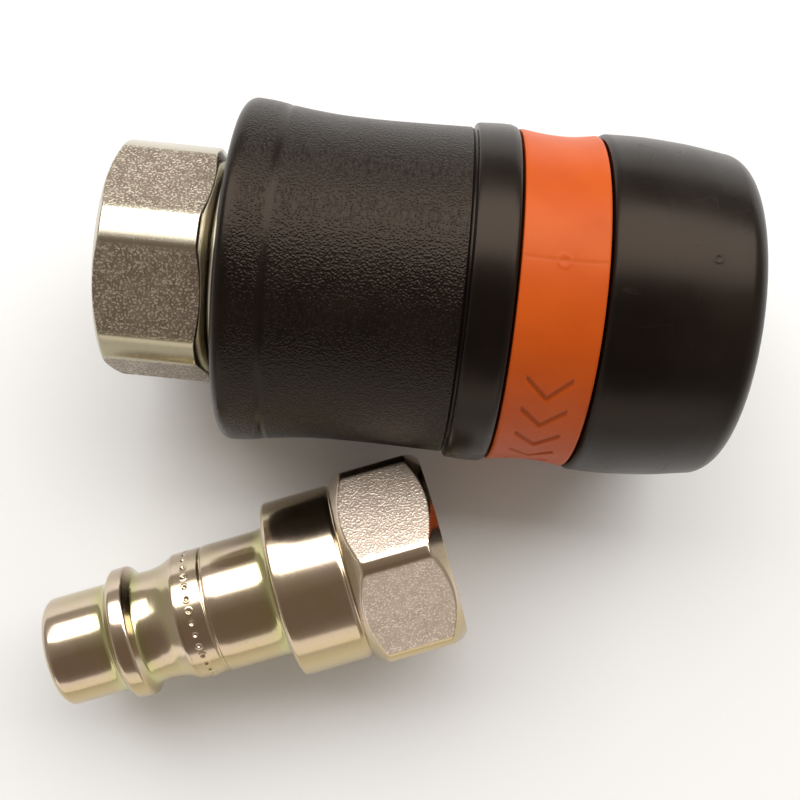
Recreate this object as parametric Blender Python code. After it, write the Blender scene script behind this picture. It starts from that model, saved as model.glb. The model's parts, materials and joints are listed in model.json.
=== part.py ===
"""Quick disconnect coupler: a socket half and its loose plug.

Lengths are in metres and +Z is up. The socket lies along +X, with its hex at the back and its
mouth at the front. Every turned profile is a closed list of (distance along the axis, radius).
Distances along the socket count from its rear face, and along the plug from the tip of its nose.
"""

import math

import bmesh
import bpy
from mathutils import Matrix, Vector

MM = 0.001

# Driving sizes, in millimetres.
COVER_RADIUS = 23.2
SOCKET_FLATS = 30.0
SOCKET_CORNER = 16.2
PLUG_FLATS = 27.0
PLUG_CORNER = 15.1
THREAD_RADIUS = 9.3
THREAD_MOUTH = 10.6
BORE_RADIUS = 9.5
BARREL_RADIUS = 11.9
SLEEVE_RADIUS = 16.0
SLEEVE_BORE = 12.1
SLEEVE_TRAVEL = 6.5

# Locking balls: place along the socket, centre radius when locked, and outward travel.
BALL_RADIUS = 2.25
BALL_COUNT = 6
BALL_X = 66.3
BALL_CENTRE = 10.15
BALL_TRAVEL = 1.55
BALL_HOLE = 2.4
CAM_GAP = 0.12

# Where the socket's rear face is, and the turn of its hex and of its snap ring's gap.
SOCKET_REAR_X = -37.57
SOCKET_Y = 19.95
SOCKET_HEX_TURN = 22.5
RING_GAP_TURN = 100.0

# Where the plug lies: its nose tip, its turn about +Z, and its roll about its own axis.
NOSE_X = -42.47
NOSE_Y = -36.2
PLUG_YAW = math.radians(21.2)
PLUG_ROLL = math.radians(24.0)
PLUG_AXIS_HEIGHT = 15.1

# Mesh fineness: steps round the covers, round the steel pieces and round the small ones.
FINE_STEPS = 48
STEPS = 36
SMALL_STEPS = 24


def clear_scene():
    for obj in list(bpy.data.objects):
        bpy.data.objects.remove(obj, do_unlink=True)


def material(name, colour, roughness, metallic=0.0):
    made = bpy.data.materials.new(name)
    made.use_nodes = True
    shader = made.node_tree.nodes["Principled BSDF"]
    shader.inputs["Base Color"].default_value = (*colour, 1.0)
    shader.inputs["Roughness"].default_value = roughness
    shader.inputs["Metallic"].default_value = metallic
    return made


def make_materials():
    return {
        "zinc_steel": material("zinc_steel", (0.56, 0.53, 0.46), 0.32, 1.0),
        "turned_steel": material("turned_steel", (0.60, 0.60, 0.58), 0.28, 1.0),
        "spring_steel": material("spring_steel", (0.35, 0.35, 0.36), 0.35, 1.0),
        "ball_steel": material("ball_steel", (0.70, 0.70, 0.70), 0.12, 1.0),
        "plug_steel": material("plug_steel", (0.72, 0.62, 0.48), 0.26, 1.0),
        "brass": material("brass", (0.65, 0.46, 0.20), 0.30, 1.0),
        "seal_rubber": material("seal_rubber", (0.02, 0.02, 0.02), 0.55),
        "grip_plastic": material("grip_plastic", (0.022, 0.018, 0.016), 0.55),
        "cap_plastic": material("cap_plastic", (0.022, 0.018, 0.016), 0.32),
        "band_plastic": material("band_plastic", (0.62, 0.16, 0.025), 0.38),
    }


def smooth_line(points, steps):
    """Points along a Catmull-Rom curve through the given ones."""
    ends = [Vector(spot) for spot in (points[0], *points, points[-1])]
    line = []
    for a, b, c, d in zip(ends, ends[1:], ends[2:], ends[3:]):
        for step in range(steps):
            t = step / steps
            bend = (2 * a - 5 * b + 4 * c - d) * t**2 + (3 * b - a - 3 * c + d) * t**3
            line.append(tuple(b + ((c - a) * t + bend) / 2))
    return line + [tuple(points[-1])]


def arc(centre, radius, start, end, steps):
    """Points on an arc in the (along, radius) plane, with angles in degrees from +X."""
    angles = [math.radians(start + (end - start) * i / steps) for i in range(steps + 1)]
    return [(centre[0] + radius * math.cos(a), centre[1] + radius * math.sin(a)) for a in angles]


def add_object(name, mesh, slot, parent=None):
    obj = bpy.data.objects.new(name, mesh)
    bpy.context.scene.collection.objects.link(obj)
    mesh.materials.append(slot)
    obj.parent = parent
    return obj


def finish_mesh(bm, name):
    """The bmesh as a mesh in metres, welded, facing out and shaded smooth between sharp edges."""
    bmesh.ops.remove_doubles(bm, verts=bm.verts, dist=1e-5)
    bmesh.ops.recalc_face_normals(bm, faces=bm.faces)
    bmesh.ops.scale(bm, vec=Vector((MM, MM, MM)), verts=bm.verts)
    mesh = bpy.data.meshes.new(name)
    bm.to_mesh(mesh)
    bm.free()
    mesh.shade_smooth()
    mesh.set_sharp_from_angle(angle=math.radians(35))
    return mesh


def turned(name, profile, slot, parent, steps=STEPS, sweep=360.0):
    """A closed profile spun about X. A sweep under 360 degrees leaves a gap with flat ends."""
    bm = bmesh.new()
    verts = [bm.verts.new((x, radius, 0.0)) for x, radius in profile]
    full = sweep >= 360.0
    if full:
        rim = [bm.edges.new((a, b)) for a, b in zip(verts, verts[1:] + verts[:1])]
    else:
        rim = [bm.faces.new(verts)]
    whole_turn = math.radians(sweep)
    geometry = verts + rim if full else rim
    bmesh.ops.spin(
        bm, geom=geometry, cent=(0, 0, 0), axis=(1, 0, 0), angle=whole_turn, steps=steps, use_merge=full
    )
    return add_object(name, finish_mesh(bm, name), slot, parent)


def cutter(name, bm, parent):
    obj = add_object(name, finish_mesh(bm, name), bpy.data.materials["turned_steel"], parent)
    obj.hide_render = True
    obj.display_type = "WIRE"
    return obj


def cut(obj, tool):
    boolean = obj.modifiers.new(tool.name, "BOOLEAN")
    boolean.operation = "DIFFERENCE"
    boolean.object = tool
    boolean.solver = "EXACT"


def flats_cutter(name, parent, across_flats, start, end):
    """What is left of a disc once a hex of this size across its flats is taken out of it."""
    bm = bmesh.new()
    corner = across_flats / 2 / math.cos(math.pi / 6)
    outer = corner + 4.0
    rings = []
    for x in (start, end):
        for radius in (corner, outer):
            turns = [math.radians(60 * i + 30) for i in range(6)]
            rings.append([bm.verts.new((x, radius * math.sin(a), radius * math.cos(a))) for a in turns])
    inner_back, outer_back, inner_front, outer_front = rings
    for i in range(6):
        j = (i + 1) % 6
        bm.faces.new((inner_back[i], inner_back[j], outer_back[j], outer_back[i]))
        bm.faces.new((inner_front[i], inner_front[j], outer_front[j], outer_front[i]))
        bm.faces.new((inner_back[i], inner_back[j], inner_front[j], inner_front[i]))
        bm.faces.new((outer_back[i], outer_back[j], outer_front[j], outer_front[i]))
    return cutter(name, bm, parent)


def holes_cutter(name, parent, x, reach, radius, count, along_axis, ring=0.0):
    """Round rods: either along the axis on a ring, or pointing out from the axis like spokes."""
    bm = bmesh.new()
    for i in range(count):
        turn = Matrix.Rotation(2 * math.pi * i / count, 4, "X")
        if along_axis:
            place = turn @ Matrix.Translation((x, 0, ring)) @ Matrix.Rotation(math.pi / 2, 4, "Y")
        else:
            place = turn @ Matrix.Translation((x, 0, ring))
        bmesh.ops.create_cone(
            bm, cap_ends=True, segments=16, radius1=radius, radius2=radius, depth=reach, matrix=place
        )
    return cutter(name, bm, parent)


def ring_seal(name, x, mean_radius, thickness, slot, parent):
    """A round-section ring."""
    bm = bmesh.new()
    sides = 10
    turns = [2 * math.pi * i / sides for i in range(sides)]
    loop = [
        bm.verts.new((x + thickness * math.cos(a), mean_radius + thickness * math.sin(a), 0)) for a in turns
    ]
    edges = [bm.edges.new((a, b)) for a, b in zip(loop, loop[1:] + loop[:1])]
    bmesh.ops.spin(
        bm,
        geom=loop + edges,
        cent=(0, 0, 0),
        axis=(1, 0, 0),
        angle=2 * math.pi,
        steps=SMALL_STEPS,
        use_merge=True,
    )
    return add_object(name, finish_mesh(bm, name), slot, parent)


def coil(name, start, end, radius, wire, turns, slot, parent):
    """A compression spring of round wire, wire being the wire's radius, between two faces."""
    sides = 6
    per_turn = 20
    count = int(turns * per_turn)
    bm = bmesh.new()
    rings = []
    for i in range(count + 1):
        along = start + wire + (end - start - wire * 2) * i / count
        angle = 2 * math.pi * i / per_turn
        out = Vector((0, math.cos(angle), math.sin(angle)))
        ring = []
        for j in range(sides):
            turn = 2 * math.pi * j / sides
            spot = out * (radius + wire * math.cos(turn)) + Vector((along + wire * math.sin(turn), 0, 0))
            ring.append(bm.verts.new(spot))
        rings.append(ring)
    for a, b in zip(rings, rings[1:]):
        for j in range(sides):
            k = (j + 1) % sides
            bm.faces.new((a[j], a[k], b[k], b[j]))
    bm.faces.new(rings[0])
    bm.faces.new(rings[-1])
    return add_object(name, finish_mesh(bm, name), slot, parent)


def hex_adapter(slots, socket):
    """The end piece: turned-down hex, female thread, and the nose that screws into the barrel."""
    profile = [
        (0.0, THREAD_MOUTH),
        (0.0, 14.9),
        (0.75, SOCKET_CORNER),
        (12.9, SOCKET_CORNER),
        (14.0, 14.3),
        (14.2, 13.4),
        (14.2, 12.2),
        (24.7, 12.2),
        (24.7, 10.9),
        (26.7, 10.9),
        (26.7, 12.2),
        (27.6, 12.2),
        (27.6, THREAD_RADIUS),
        (1.3, THREAD_RADIUS),
    ]
    obj = turned("hex_adapter", profile, slots["zinc_steel"], socket)
    flats = flats_cutter("socket_flats", socket, SOCKET_FLATS, -1.0, 14.1)
    flats.rotation_euler.x = math.radians(SOCKET_HEX_TURN)
    cut(obj, flats)


def cam_radius(x):
    """Radius of the sleeve's cam at this distance along the socket, with the sleeve forward."""
    slope = BALL_TRAVEL / SLEEVE_TRAVEL
    at_ball = BALL_CENTRE + (BALL_RADIUS + CAM_GAP) * math.hypot(1, slope)
    return at_ball + slope * (x - BALL_X)


def barrel(slots, socket):
    """Steel inner body: rear socket, valve chamber and seat, seal groove, ball holes and ring groove."""
    profile = [
        (14.5, 12.5),
        (14.5, 15.0),
        (14.8, 15.36),
        (17.6, 15.36),
        (18.0, 14.9),
        (40.0, 14.9),
        (40.0, BARREL_RADIUS),
        (77.0, BARREL_RADIUS),
        (77.0, 11.0),
        (78.6, 11.0),
        (78.6, BARREL_RADIUS),
        (80.3, BARREL_RADIUS),
        (80.8, 11.4),
        (80.8, 10.4),
        (79.7, BORE_RADIUS),
        (61.2, BORE_RADIUS),
        (60.2, 7.9),
        (58.2, 7.9),
        (58.2, 10.0),
        (55.2, 10.0),
        (55.2, 7.9),
        (50.0, 7.9),
        (50.0, 9.8),
        (30.5, 9.8),
        (30.5, 12.5),
    ]
    obj = turned("barrel", profile, slots["turned_steel"], socket)
    cut(obj, holes_cutter("ball_holes", socket, BALL_X, 6.0, BALL_HOLE, BALL_COUNT, False, 11.0))


def valve_body(slots, socket):
    """Poppet: stem, flange and hollow nose with four windows. Its origin is on the socket's axis."""
    profile = [
        (24.5, 0.0),
        (24.5, 1.7),
        (24.8, 2.0),
        (45.5, 2.0),
        (45.5, 8.9),
        (45.8, 9.2),
        (47.5, 9.2),
        (47.8, 8.9),
        (47.8, 7.2),
        (56.7, 7.2),
        (57.0, 6.9),
        (57.0, 5.5),
        (56.7, 5.2),
        (50.0, 5.2),
        (49.4, 4.6),
        (49.4, 0.0),
    ]
    obj = turned("valve_body", profile, slots["brass"], socket, SMALL_STEPS)
    for index, half in enumerate((0.0, math.pi / 2)):
        bm = bmesh.new()
        place = Matrix.Rotation(half, 4, "X") @ Matrix.Translation((52.8, 0, 0))
        place = place @ Matrix.Diagonal((4.4, 5.2, 20.0, 1.0))
        bmesh.ops.create_cube(bm, size=1.0, matrix=place)
        cut(obj, cutter(f"valve_windows_{index}", bm, socket))
    ring_seal("valve_seal", 48.85, 8.2, 0.8, slots["seal_rubber"], socket)


def valve_guide(slots, socket):
    """Disc that guides the poppet's stem and carries its spring, with flow holes round the hub."""
    profile = [
        (27.9, 2.25),
        (27.9, 12.2),
        (30.2, 12.2),
        (30.2, 4.2),
        (32.6, 4.2),
        (33.0, 3.8),
        (33.0, 2.25),
    ]
    obj = turned("valve_guide", profile, slots["brass"], socket, SMALL_STEPS)
    cut(obj, holes_cutter("flow_holes", socket, 29.0, 6.0, 1.3, 8, True, 5.7))


def lock_balls(slots, socket):
    """Each ball is its own piece with its origin at its centre."""
    for i in range(BALL_COUNT):
        bm = bmesh.new()
        bmesh.ops.create_icosphere(bm, subdivisions=2, radius=BALL_RADIUS)
        name = f"lock_ball_{i + 1}"
        obj = add_object(name, finish_mesh(bm, name), slots["ball_steel"], socket)
        angle = 2 * math.pi * i / BALL_COUNT
        obj.location = Vector((BALL_X, -math.sin(angle) * BALL_CENTRE, math.cos(angle) * BALL_CENTRE)) * MM


def lock_sleeve(slots, socket):
    cam_start = BALL_X - (cam_radius(BALL_X) - SLEEVE_BORE) * SLEEVE_TRAVEL / BALL_TRAVEL
    cam_end = 75.6
    profile = [
        (54.0, SLEEVE_BORE),
        (54.0, SLEEVE_RADIUS - 0.4),
        (54.4, SLEEVE_RADIUS),
        (76.5, SLEEVE_RADIUS),
        (76.8, SLEEVE_RADIUS - 0.3),
        (76.8, SLEEVE_BORE),
        (cam_end, SLEEVE_BORE),
        (cam_end, cam_radius(cam_end)),
        (cam_start, SLEEVE_BORE),
    ]
    turned("lock_sleeve", profile, slots["turned_steel"], socket)


def spring_pieces(slots, socket):
    washer = [(40.3, 12.2), (40.3, 14.7), (41.3, 14.7), (41.3, 12.2)]
    turned("spring_washer", washer, slots["turned_steel"], socket, SMALL_STEPS)
    coil("sleeve_spring", 41.6, 53.7, 13.4, 0.75, 3.5, slots["spring_steel"], socket)
    coil("valve_spring", 30.5, 45.2, 6.6, 0.6, 4.5, slots["spring_steel"], socket)
    split = [(77.2, 11.2), (77.2, 13.2), (78.4, 13.2), (78.4, 11.2)]
    ring = turned("snap_ring", split, slots["spring_steel"], socket, SMALL_STEPS, 335.0)
    ring.rotation_euler.x = math.radians(RING_GAP_TURN)


def seals(slots, socket):
    ring_seal("adapter_seal", 25.7, 11.7, 0.7, slots["seal_rubber"], socket)
    ring_seal("plug_seal", 56.7, 8.75, 1.1, slots["seal_rubber"], socket)


def rear_grip(slots, socket):
    """Grip cover with a flared rear lip that the fingers pull on, and a spigot under the band."""
    waist = smooth_line(
        [(19.2, 23.1), (22.3, 22.65), (28.7, 22.03), (33.3, 21.93), (38.0, 21.98), (46.1, 22.2)], 2
    )
    profile = [
        (16.0, 16.7),
        *arc((17.5, 21.7), 1.5, 180, 90, 4),
        *waist,
        (46.5, 22.75),
        (49.4, 22.98),
        (51.2, 22.95),
        (51.9, 22.5),
        (51.9, 19.4),
        (57.2, 19.4),
        (57.2, 16.3),
        (51.0, 16.3),
        (50.0, 19.0),
        (19.0, 19.0),
        (17.6, 16.7),
    ]
    turned("rear_grip", profile, slots["grip_plastic"], socket, FINE_STEPS)


def marker_band(slots, socket):
    hollow = smooth_line([(52.5, 22.6), (55.6, 22.2), (58.3, 22.12), (60.5, 22.3), (62.4, 22.65)], 2)
    profile = [(52.2, 19.7), (52.2, 22.4), *hollow, (62.7, 22.4), (62.7, 19.7)]
    turned("marker_band", profile, slots["band_plastic"], socket, FINE_STEPS)


def front_cap(slots, socket):
    """Front cover: it traps the sleeve's front end and ends in a rounded edge round the mouth."""
    side = smooth_line([(63.7, 22.95), (68.5, 23.05), (74.2, 22.7), (78.0, 22.2)], 2)
    profile = [
        (57.5, 16.3),
        (57.5, 19.4),
        (63.0, 19.4),
        (63.0, 22.5),
        *side,
        *arc((79.3, 18.6), 3.3, 75, 0, 5),
        (82.6, 15.2),
        (82.2, 14.6),
        (81.2, 13.7),
        (77.1, 13.7),
        (77.1, 16.3),
    ]
    turned("front_cap", profile, slots["cap_plastic"], socket, FINE_STEPS)


def plug_body(slots, plug):
    """One turned steel piece: nose, locking ridge, neck, body, collar, hex and female thread."""
    neck = smooth_line([(15.2, 7.9), (16.9, 8.2), (18.4, 8.85), (18.9, 9.1)], 2)
    profile = [
        (0.0, 5.2),
        (0.0, 7.1),
        (0.6, 7.7),
        (8.6, 7.7),
        (9.2, 8.1),
        (9.8, 9.1),
        (10.1, 9.35),
        (11.9, 9.35),
        (12.2, 9.15),
        (13.0, 8.0),
        (13.4, 7.9),
        *neck,
        (22.9, 9.1),
        (23.05, 8.9),
        (23.35, 8.9),
        (23.5, 9.2),
        (31.5, 9.2),
        (32.6, 9.6),
        (33.0, 10.5),
        (33.1, 12.3),
        (33.5, 12.7),
        (42.6, 12.7),
        (43.0, 12.4),
        (45.4, PLUG_CORNER),
        (54.6, PLUG_CORNER),
        (56.8, 12.9),
        (56.8, THREAD_MOUTH),
        (55.5, THREAD_RADIUS),
        (42.0, THREAD_RADIUS),
        (39.5, 5.2),
    ]
    obj = turned("plug_body", profile, slots["plug_steel"], plug)
    flats = flats_cutter("plug_flats", plug, PLUG_FLATS, 43.4, 57.8)
    cut(obj, flats)


def axis_empty(name, location, yaw=0.0, roll=0.0):
    empty = bpy.data.objects.new(name, None)
    bpy.context.scene.collection.objects.link(empty)
    empty.location = Vector(location) * MM
    empty.rotation_euler = (roll, 0.0, yaw)
    return empty


def main():
    clear_scene()
    slots = make_materials()
    socket = axis_empty("socket_axis", (SOCKET_REAR_X, SOCKET_Y, COVER_RADIUS))
    plug = axis_empty("plug_axis", (NOSE_X, NOSE_Y, PLUG_AXIS_HEIGHT), PLUG_YAW, PLUG_ROLL)
    hex_adapter(slots, socket)
    barrel(slots, socket)
    seals(slots, socket)
    valve_body(slots, socket)
    valve_guide(slots, socket)
    lock_balls(slots, socket)
    lock_sleeve(slots, socket)
    spring_pieces(slots, socket)
    rear_grip(slots, socket)
    marker_band(slots, socket)
    front_cap(slots, socket)
    plug_body(slots, plug)


main()
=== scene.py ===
# %% [markdown]
# # A quick disconnect coupler
# The object has two halves. The socket is a steel body under black plastic covers with an orange
# ring, and the plug is one turned piece of plated steel that lies beside it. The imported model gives
# every place and every motion, and the cells below give each piece its fine shape and its finish.

# %% Load the frame
import json
import math

import bmesh
import bpy
import numpy as np
from mathutils import Matrix, Vector


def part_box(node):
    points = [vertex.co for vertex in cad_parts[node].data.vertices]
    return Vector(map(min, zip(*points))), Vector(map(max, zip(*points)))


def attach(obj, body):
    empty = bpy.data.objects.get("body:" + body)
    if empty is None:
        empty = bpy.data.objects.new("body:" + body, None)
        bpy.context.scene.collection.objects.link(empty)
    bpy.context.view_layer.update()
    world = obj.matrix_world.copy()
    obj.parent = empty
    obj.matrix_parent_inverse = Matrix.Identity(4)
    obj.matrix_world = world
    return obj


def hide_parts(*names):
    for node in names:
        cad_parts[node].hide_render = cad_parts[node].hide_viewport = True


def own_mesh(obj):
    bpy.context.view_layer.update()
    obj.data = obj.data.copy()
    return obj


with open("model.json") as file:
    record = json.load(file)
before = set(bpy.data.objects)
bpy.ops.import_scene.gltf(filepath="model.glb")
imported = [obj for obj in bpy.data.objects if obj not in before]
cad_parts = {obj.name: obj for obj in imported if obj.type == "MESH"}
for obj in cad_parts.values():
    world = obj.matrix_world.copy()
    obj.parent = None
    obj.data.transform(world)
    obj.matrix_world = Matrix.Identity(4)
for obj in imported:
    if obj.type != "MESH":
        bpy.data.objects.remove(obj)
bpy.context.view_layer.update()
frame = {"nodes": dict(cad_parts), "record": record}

MM = 0.001

# %% [markdown]
# ## Where the two axes are
# Every turned piece is a profile carried round an axis, so the two axes come first. The socket's
# axis runs along X through the middle of the barrel, and its distances count from the hex's rear
# face. The plug's axis comes from the flat face at its back, because the plug lies at an angle.

# %% Axes of the two halves
barrel_low, barrel_high = (Vector(corner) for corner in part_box("barrel"))
middle = (barrel_low + barrel_high) / 2
rear_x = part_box("hex_adapter")[0][0]
socket_place = Matrix.Translation((rear_x, middle.y, middle.z))

PLUG_LENGTH = 56.8
# The mount on the plug's back face stands this far above the plug's axis.
PLUG_FACE_HEIGHT = 11.75
mounts = {mount["name"]: mount for mount in frame["record"]["mounts"]}
plug_back = Vector(mounts["plug_rear_face"]["pos_m"]) - Vector((0, 0, PLUG_FACE_HEIGHT * MM))
plug_along = Vector(mounts["plug_rear_face"]["axis"]).normalized()
plug_nose = plug_back - plug_along * PLUG_LENGTH * MM
plug_yaw = math.atan2(plug_along.y, plug_along.x)
plug_place = Matrix.Translation(plug_nose) @ Matrix.Rotation(plug_yaw, 4, "Z")
print("socket starts at x", round(rear_x, 5), "plug turned", round(math.degrees(plug_yaw), 1), "deg")

# %% [markdown]
# ## The camera
# The view is a close one from above, so the near side of each round piece looks larger than its
# far side. A lens of about 48 mm on a 36 mm sensor at 17 cm gives that. The camera leans a little
# towards the plug, and it is turned so that the socket's axis falls by about five degrees.

# %% Camera
LENS = 47.84
SENSOR_WIDTH = 36.0
NEAREST_SEEN = 5 * MM
CAMERA_SPOT = Vector((-0.15, -0.2, 169.7)) * MM
CAMERA_AIM = Vector((2.71, 4.97, 0.0)) * MM
PICTURE_TURN = math.radians(5.5)

camera = bpy.data.objects.new("camera", bpy.data.cameras.new("camera"))
bpy.context.scene.collection.objects.link(camera)
camera.data.lens = LENS
camera.data.sensor_width = SENSOR_WIDTH
camera.data.clip_start = NEAREST_SEEN
ahead = (CAMERA_AIM - CAMERA_SPOT).normalized()
rightward = Vector((math.cos(PICTURE_TURN), math.sin(PICTURE_TURN), 0.0))
rightward = (rightward - ahead * rightward.dot(ahead)).normalized()
upward = rightward.cross(ahead)
facing = Matrix((rightward, upward, -ahead)).transposed().to_4x4()
camera.matrix_world = Matrix.Translation(CAMERA_SPOT) @ facing
bpy.context.scene.camera = camera
print("camera looks from", tuple(round(v, 4) for v in CAMERA_SPOT))

# %% [markdown]
# ## Shader arithmetic
# A finish is mostly arithmetic on patterns: this noise times that mask plus a base value. Wrapping
# a socket in a small class lets those sums be written as plain Python, and each operator adds the
# Math node that it stands for.

# %% Sockets that can be added and multiplied


def feed(tree, slot, value):
    """Puts a number, a colour or another socket on a node's input."""
    if isinstance(value, Shade):
        tree.links.new(value.socket, slot)
    else:
        slot.default_value = value


class Shade:
    """A node's output that takes part in arithmetic."""

    def __init__(self, tree, socket):
        self.tree = tree
        self.socket = socket

    def math(self, operation, first, second=None, clamp=False):
        """Adds one Math node."""
        node = self.tree.nodes.new("ShaderNodeMath")
        node.operation = operation
        node.use_clamp = clamp
        feed(self.tree, node.inputs[0], first)
        if second is not None:
            feed(self.tree, node.inputs[1], second)
        return Shade(self.tree, node.outputs[0])

    def __add__(self, other):
        return self.math("ADD", self, other)

    __radd__ = __add__

    def __sub__(self, other):
        return self.math("SUBTRACT", self, other)

    def __rsub__(self, other):
        return self.math("SUBTRACT", other, self)

    def __mul__(self, other):
        return self.math("MULTIPLY", self, other)

    __rmul__ = __mul__

    def __truediv__(self, other):
        return self.math("DIVIDE", self, other)

    def __abs__(self):
        return self.math("ABSOLUTE", self)

    def limited(self):
        """The value held between 0 and 1."""
        return self.math("MULTIPLY", self, 1.0, clamp=True)

    def step(self, low, high):
        """0 below low, 1 above high, and a straight ramp between, for low above high too."""
        return ((self - low) / (high - low)).limited()


print("shader values can be added, multiplied and stepped")

# %% A tree of nodes


class Graph:
    """A tree of nodes, and the one way in which a node is added to it."""

    def __init__(self, tree):
        self.tree = tree

    def node(self, kind, settings, values, output=0):
        """Adds a node: its settings first, then the values or links of its sockets."""
        node = self.tree.nodes.new(kind)
        for key, value in settings.items():
            setattr(node, key, value)
        for key, value in values.items():
            feed(self.tree, node.inputs[key], value)
        return Shade(self.tree, node.outputs[output])

    def along(self, vector, direction):
        """How far a vector reaches along a direction: their dot product."""
        values = {0: vector, 1: direction}
        return self.node("ShaderNodeVectorMath", {"operation": "DOT_PRODUCT"}, values, "Value")

    def mix(self, amount, first, second):
        """A colour between two, by amount."""
        values = {0: amount, 6: first, 7: second}
        return self.node("ShaderNodeMix", {"data_type": "RGBA"}, values, 2)


print("node trees can take nodes, dot products and mixes")

# %% A finish


def shader_socket(word):
    """base_color names the shader's input Base Color."""
    return word.replace("_", " ").title().replace("Ior", "IOR")


def rgb(red, green, blue):
    """An opaque colour in linear light."""
    return (red, green, blue, 1.0)


class Finish(Graph):
    """A new material with its Principled shader. Plain values are set on the shader itself."""

    def __init__(self, name, **plain):
        self.material = bpy.data.materials.new(name)
        self.material.use_nodes = True
        super().__init__(self.material.node_tree)
        self.shader = self.tree.nodes["Principled BSDF"]
        for socket_name, value in plain.items():
            self.shader.inputs[shader_socket(socket_name)].default_value = value

    def place(self):
        """Where the point is in the object's own space, in metres."""
        return self.node("ShaderNodeTexCoord", {}, {}, "Object")

    def part(self, vector, axis):
        """One coordinate of a vector."""
        return self.node("ShaderNodeSeparateXYZ", {}, {"Vector": vector}, axis)

    def noise(self, vector, size, detail=3.0, rough=0.5):
        """Noise whose lumps are about this many millimetres across."""
        values = {"Vector": vector, "Scale": 1 / (size * MM), "Detail": detail, "Roughness": rough}
        return self.node("ShaderNodeTexNoise", {}, values, "Fac")

    def cells(self, vector, size):
        """Distance to the nearest of points strewn about this many millimetres apart."""
        values = {"Vector": vector, "Scale": 1 / (size * MM)}
        return self.node("ShaderNodeTexVoronoi", {}, values, "Distance")

    def named(self, attribute):
        """A value kept on the mesh's points."""
        return self.node("ShaderNodeAttribute", {"attribute_name": attribute}, {}, "Fac")

    def paint(self, **links):
        """Links patterns to the shader's inputs."""
        for socket_name, value in links.items():
            feed(self.tree, self.shader.inputs[shader_socket(socket_name)], value)

    def bump(self, height, depth, strength=1.0):
        """Raises the surface by depth millimetres where height is 1."""
        values = {"Height": height, "Distance": depth * MM, "Strength": strength}
        self.paint(Normal=self.node("ShaderNodeBump", {}, values))


print("a finish paints inputs such as", shader_socket("base_color"))

# %% [markdown]
# ## Plated and turned steel
# Turning leaves fine rings round the axis. They are made as noise that only sees the distance
# along the axis, so that each ring keeps its shade all the way round. The forged sides of a hex
# keep a rough skin under the plating, while its turned corners are smooth. Bright flecks on the
# tips of that skin are painted glints, so one fine noise gives both the glints and the height.
# The grooves of the turned metal get painted shade, and its side towards -Y a painted yellowish
# reflection tint.

# %% Turned steel
SOCKET_LINE = (1.0, 0.0, 0.0)
PLUG_LINE = tuple(plug_along)


def lathe_rings(finish, direction, fine, coarse):
    """Fine and coarse rings: noise on a vector whose only part is the distance along the axis."""
    reach = finish.along(finish.place(), direction)
    line = finish.node("ShaderNodeCombineXYZ", {}, {"X": reach})
    return finish.noise(line, fine, 2.0) * 0.6 + finish.noise(line, coarse, 1.0) * 0.4


def turned_finish(name, colour, stain, roughness, ring_depth=0.004):
    """Metal off a lathe: fine rings, a slow change of tone and a few specks."""
    finish = Finish(name, metallic=1.0)
    spot = finish.place()
    rings = lathe_rings(finish, SOCKET_LINE, 0.16, 0.6)
    cloud = finish.noise(spot, 7.0, 4.0).step(0.35, 0.7)
    specks = finish.noise(spot, 0.35, 2.0).step(0.66, 0.74)
    tone = finish.mix(cloud, colour, stain)
    finish.paint(base_color=finish.mix(specks * 0.35, tone, rgb(0.16, 0.13, 0.10)))
    finish.paint(roughness=rings * 0.12 + cloud * 0.06 + specks * 0.2 + roughness)
    finish.bump(rings, ring_depth, 0.6)
    return finish.material


print("rings run across", SOCKET_LINE, "and", tuple(round(v, 3) for v in PLUG_LINE))

# %% Forged hex sides


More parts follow.
